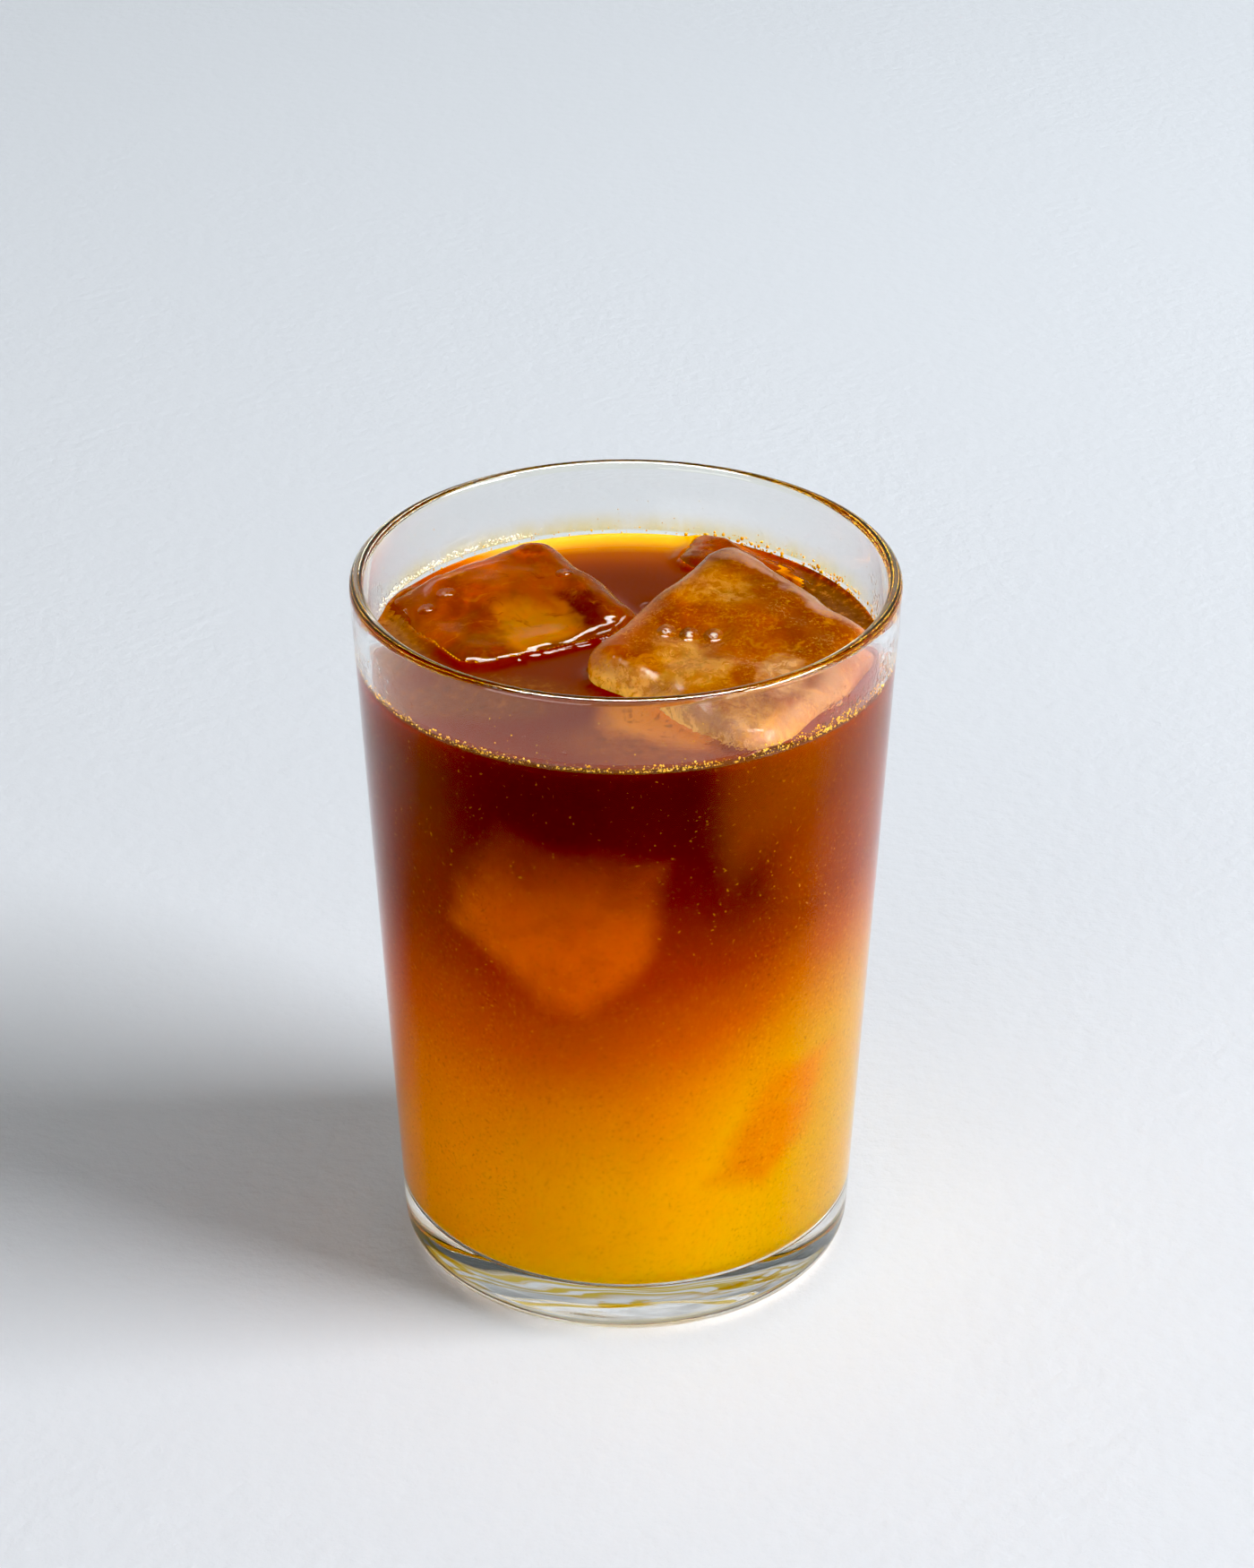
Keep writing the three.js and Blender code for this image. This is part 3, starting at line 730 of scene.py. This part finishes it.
def make_glass():
    """The tumbler's section turned round its axis, from the underside over the foot and lip to the floor."""
    lip = WALL / 2
    lip_height = GLASS_TOP - lip
    radius = np.linspace(0, HOLLOW_RADIUS, HOLLOW_POINTS)
    hollow = np.stack([radius, HOLLOW_DEPTH * (1 - (radius / HOLLOW_RADIUS) ** 2)], -1)
    foot_centre = tangent_centre(outer_radius, FOOT_CORNER, FOOT_CORNER)
    foot = arc(foot_centre, FOOT_CORNER, FOOT_CORNER, -np.pi / 2, -LEAN, ROUND_STEPS)
    lip_centre = tangent_centre(outer_radius, lip_height, lip)
    rim = arc(lip_centre, lip_height, lip, -LEAN, np.pi - LEAN, ROUND_STEPS)
    inside = inside_profile(0.0, lip_height, WALL_STEPS)[::-1][1:]
    ring = straight(hollow[-1], foot[0], RING_STEPS)
    wall = straight(foot[-1], rim[0], WALL_STEPS)
    made = turned("tumbler", np.concatenate([hollow, ring, foot, wall, rim, inside, [[0, FLOOR]]]))
    mesh = made.data
    mesh.vertices.foreach_set("co", (with_mould_waves(read_points(mesh.vertices, "co")) * MM).ravel())
    mesh.materials.append(glass_material("glass round the drink", (0.97, 0.975, 0.95), 0.05, juice_image_painted=True))
    mesh.materials.append(glass_material("bare glass", (0.97, 0.98, 0.965), 1.0, splashed=True))
    mesh.materials.append(glass_material("glass lip", (0.90, 0.92, 0.80), 1.0))
    height = read_points(mesh.polygons, "center")[:, 2]
    kind = np.digitize(height, (LEVEL + 0.6, GLASS_TOP - 2)).astype(np.int32)
    mesh.polygons.foreach_set("material_index", kind)
    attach(made, "root")
    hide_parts("glass")


class Waterline:
    """Where a piece of ice meets the surface: its mean reach from a centre in each of many sectors."""

    def __init__(self, place):
        edge = place[np.abs(place[:, 2] - LEVEL) < WATERLINE_BAND, :2]
        self.centre = edge.mean(0)
        away = edge - self.centre
        turn = np.arctan2(away[:, 1], away[:, 0]) / (2 * np.pi) % 1
        sector = np.floor(turn * SECTORS).astype(int)
        count = np.bincount(sector, minlength=SECTORS)
        seen = count > 0
        self.turn = (np.arange(SECTORS)[seen] + 0.5) / SECTORS * 2 * np.pi
        self.reach = np.bincount(sector, np.linalg.norm(away, axis=1), SECTORS)[seen] / count[seen]

    def gap(self, x, y):
        """How far points are outside the ice, along the line from its centre; negative inside."""
        x, y = x - self.centre[0], y - self.centre[1]
        turn = np.arctan2(y, x) % (2 * np.pi)
        return np.hypot(x, y) - np.interp(turn, self.turn, self.reach, period=2 * np.pi)


def surface_height(x, y, lines):
    """Height of the coffee's surface: level, with a wet edge that climbs the wall and the ice.

    The climb falls off by an exponential of the distance. Under each piece of ice the surface goes down
    steeply, so that the clear ice shows its own sunk side."""
    wall_gap = np.maximum(inner_radius(LEVEL) - np.hypot(x, y), 0)
    height = LEVEL + WALL_CLIMB * np.exp(-wall_gap / WALL_FADE)
    off_wall = np.clip((wall_gap - POCKET_WALL_GAP) / POCKET_WALL_SIDE, 0, 1)
    for line in lines:
        gap = line.gap(x, y)
        height += ICE_CLIMB * np.exp(-np.maximum(gap, 0) / ICE_FADE)
        height -= POCKET_DEPTH * np.clip((-gap - POCKET_INSET) / POCKET_SIDE, 0, 1) * off_wall
    return height


def make_drink(lines):
    """Side, corner and floor of the drink turned round the axis, closed by the surface over it."""
    side = inside_profile(-INTO_WALL, LEVEL, DRINK_WALL_STEPS)
    across = np.linspace(inner_radius(LEVEL) + INTO_WALL, 0, SURFACE_POINTS)[1:]
    surface = np.stack([across, np.full_like(across, LEVEL)], -1)
    made = turned("drink", np.concatenate([[[0, FLOOR - INTO_WALL]], side, surface]))
    mesh = made.data
    places = read_points(mesh.vertices, "co")
    first_top = (len(side) - 1) * TURNS
    top = np.arange(len(places)) >= first_top
    top[-2] = False  # the pole under the floor
    places[top, 2] = surface_height(places[top, 0], places[top, 1], lines)
    mesh.vertices.foreach_set("co", (places * MM).ravel())
    mesh.update()
    x, y, _ = read_points(mesh.polygons, "center").T
    side_face, top_face, pocket_face = 0, 1, 2
    kind = np.where(np.arange(len(x)) >= first_top, top_face, side_face).astype(np.int32)
    kind[-2 * TURNS:-TURNS] = side_face  # round that pole
    for line in lines:
        kind[(kind == top_face) & (line.gap(x, y) < -POCKET_FACE_INSET)] = pocket_face
    mesh.materials.append(drink_side_material())
    mesh.materials.append(drink_top_material())
    mesh.materials.append(stained_material("stained pocket", *STAINS["ice_right"], dark_left=True))
    mesh.polygons.foreach_set("material_index", kind)
    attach(made, "root")
    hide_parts("orange_juice", "cold_brew")


def make_ice():
    """The three pieces that stand out of the drink, and the line where each meets the surface."""
    cube, quads = cube_sheets(ICE_CELLS)
    lines = []
    for name, shape in ICE.items():
        place, up = ice_points(cube, **shape)
        pits = sum(waves(place, length, seed) * height for length, seed, height in ICE_PITS)
        place = kept_inside(place + pits[:, None] * up, ICE_WALL_GAP)
        made = make_mesh(name + "_wet", place, quads)
        in_cube = made.data.attributes.new("in_cube", "FLOAT_VECTOR", "POINT")
        in_cube.data.foreach_set("vector", cube.ravel())
        words = name.replace("_", " ")
        made.data.materials.append(ice_skin_material("wet " + words, **ICE_SKINS[name]))
        made.data.materials.append(stained_material("sunk " + words, *STAINS[name]))
        sunk = place[quads, 2].mean(1) < LEVEL + 0.2
        made.data.polygons.foreach_set("material_index", sunk.astype(np.int32))
        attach(made, "root")
        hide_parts(name)
        lines.append(Waterline(place))
    return lines


def specks(name, centres, radii, seed):
    """Small lumps as one mesh, one at each centre.

    Each is an eight-sided ball split once, with its corners moved in or out a little."""
    rng = np.random.default_rng(seed)
    ball = np.array([(1, 0, 0), (-1, 0, 0), (0, 1, 0), (0, -1, 0), (0, 0, 1), (0, 0, -1)], float)
    sides = [(0, 2, 4), (2, 1, 4), (1, 3, 4), (3, 0, 4), (2, 0, 5), (1, 2, 5), (3, 1, 5), (0, 3, 5)]
    pairs = sorted({tuple(sorted((side[i], side[i - 1]))) for side in sides for i in range(3)})
    middle = {pair: 6 + i for i, pair in enumerate(pairs)}
    halves = np.array([ball[a] + ball[b] for a, b in pairs])
    ball = np.concatenate([ball, halves / np.linalg.norm(halves, axis=1)[:, None]])
    faces = []
    for a, b, c in sides:
        ab, bc, ca = (middle[tuple(sorted(pair))] for pair in ((a, b), (b, c), (c, a)))
        faces += [(a, ab, ca), (b, bc, ab), (c, ca, bc), (ab, bc, ca)]
    uneven = rng.uniform(0.7, 1.3, (len(centres), len(ball), 1))
    lumps = ball[None] * uneven * np.asarray(radii)[:, None, None]
    points = (np.asarray(centres)[:, None] + lumps).reshape(-1, 3)
    first_corner = np.arange(len(centres))[:, None, None] * len(ball)
    return make_mesh(name, points, np.empty((0, 4)), np.array(faces)[None] + first_corner)


def on_wall(turn, height, inset):
    """Points on the inside of the glass at a turn from the +X axis, drawn in by an inset."""
    radius = inner_radius(height) - inset
    return np.stack([radius * np.cos(turn), radius * np.sin(turn), height], -1)


def wall_bits(name, bands, seed):
    """Small lumps pressed into the wall, in bands of turn and height, most round some places of a band.

    A band is (first and last turn in degrees, count, lowest and highest, smallest and largest, places)."""
    rng = np.random.default_rng(seed)
    parts = []
    for start, end, count, low, high, small, large, places in bands:
        middles = rng.uniform(start, end, places)
        turn = rng.choice(middles, count) + rng.normal(0, 2.2, count)
        loose = rng.random(count) < 0.35
        turn[loose] = rng.uniform(start, end, loose.sum())
        radii = small + (large - small) * rng.random(count) ** 3
        height = low + (high - low) * rng.random(count) ** 2
        parts.append((on_wall(np.radians(turn), height, -INTO_WALL - 0.2 * radii), radii))
    centres, radii = (np.concatenate(column) for column in zip(*parts))
    return specks(name, centres, radii, seed + 1)


def make_pulp():
    """Bits of orange pulp: a broken line where the drink meets the glass, clumps, and a few dried higher up.

    At the far left a line of pale froth has stayed above it."""
    pulp = wall_bits("orange_pulp", [
        (178, 300, 760, LEVEL + 0.1, LEVEL + 1.3, 0.05, 0.20, 46),
        (300, 358, 420, LEVEL + 0.1, LEVEL + 2.0, 0.06, 0.26, 26),
        (0, 75, 420, LEVEL + 0.1, LEVEL + 2.2, 0.08, 0.34, 22),
        (75, 178, 160, LEVEL + 0.1, LEVEL + 1.8, 0.06, 0.2, 20),
        (0, 360, 170, LEVEL + 1.5, LEVEL + 10, 0.04, 0.12, 26),
    ], 5)
    froth = wall_bits("pale_froth", [(112, 166, 460, LEVEL + 1.4, LEVEL + 2.5, 0.08, 0.26, 13)], 15)
    pulp.data.materials.append(bits_material(
        "orange pulp", 1.5, (0.85, 0.48, 0.02), (0.45, 0.17, 0.01), 0.25, 1.36, (1.0, 0.5, 0.1)))
    froth.data.materials.append(bits_material(
        "pale froth", 2.5, (0.93, 0.92, 0.88), (0.86, 0.76, 0.50), 0.15, 1.33, (1.0, 0.8, 0.5)))
    for piece in (pulp, froth):
        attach(piece, "root")


# Floor, camera and light, in metres from here on

PAPER_SIZE = 8
LENS, SENSOR_WIDTH = 100.71, 36
VIEW_ELEVATION = np.radians(28.853)
VIEW_DISTANCE = 0.70607
VIEW_TARGET = (0.00018, 0, 0.08264)
LAMP_TARGET = (0, 0, 0.06)


def make_stage():
    """A wide sheet of paper under the glass."""
    bpy.ops.mesh.primitive_plane_add(size=PAPER_SIZE)
    floor = bpy.context.object
    floor.name = "paper_floor"
    floor.data.materials.append(paper_material())


def make_camera():
    """The photograph's view: from the near side, looking down by the elevation."""
    data = bpy.data.cameras.new("view")
    data.lens = LENS
    data.sensor_width = SENSOR_WIDTH
    camera = bpy.data.objects.new("view", data)
    back = np.array([0, -np.cos(VIEW_ELEVATION), np.sin(VIEW_ELEVATION)])
    camera.location = np.array(VIEW_TARGET) + VIEW_DISTANCE * back
    camera.rotation_euler = (np.pi / 2 - VIEW_ELEVATION, 0, 0)
    bpy.context.scene.collection.objects.link(camera)
    bpy.context.scene.camera = camera


def area_light(name, azimuth, elevation, distance, size, power, colour):
    """An oblong lamp that faces the glass from an azimuth (0 is the far side, 90 the right) and elevation."""
    data = bpy.data.lights.new(name, "AREA")
    data.shape = "RECTANGLE"
    data.size, data.size_y = size
    data.energy, data.color = power, colour
    lamp = bpy.data.objects.new(name, data)
    turn, lift = np.radians(azimuth), np.radians(elevation)
    way = np.array([np.sin(turn) * np.cos(lift), np.cos(turn) * np.cos(lift), np.sin(lift)])
    lamp.location = np.array(LAMP_TARGET) + way * distance
    lamp.rotation_euler = (np.pi / 2 - lift, 0, np.pi - turn)
    bpy.context.scene.collection.objects.link(lamp)
    return lamp


def make_light():
    """A soft key lamp from the right, a weak one in front, one for the glints on top, and a grey studio."""
    area_light("key", 103, 40, 2.2, (1.15, 0.60), 66, (0.98, 0.99, 1.0))
    area_light("front", 215, 13, 1.6, (1.2, 0.6), 9, (1.0, 0.98, 0.95))
    glints = area_light("glints", 0, 86, 1.3, (1.1, 0.30), 46, (1.0, 1.0, 1.0))
    glints.visible_diffuse = False
    p = Paint("studio", bpy.data.worlds)
    _, y, z = p.parts(p.node("ShaderNodeTexCoord").outputs["Generated"])
    far = p.mixed(p.ranged(z, 0.56, 0.70), (0.55, 0.575, 0.61), (0.16, 0.175, 0.19))
    tone = p.mixed(p.ranged(y, -0.5, 0.3), (0.30, 0.30, 0.30), far)
    sky = p.node("ShaderNodeBackground", {"Color": tone}).outputs[0]
    bpy.context.scene.world = p.done(sky, "ShaderNodeOutputWorld")
    paths = bpy.context.scene.cycles
    paths.max_bounces, paths.glossy_bounces, paths.transmission_bounces = 24, 14, 16
    view = bpy.context.scene.view_settings
    view.view_transform = "Standard"
    view.use_curve_mapping = True
    view.curve_mapping.black_level = (0.016, 0.018, 0.032)


make_camera()
make_light()
make_stage()
make_glass()
make_drink(make_ice())
make_pulp()
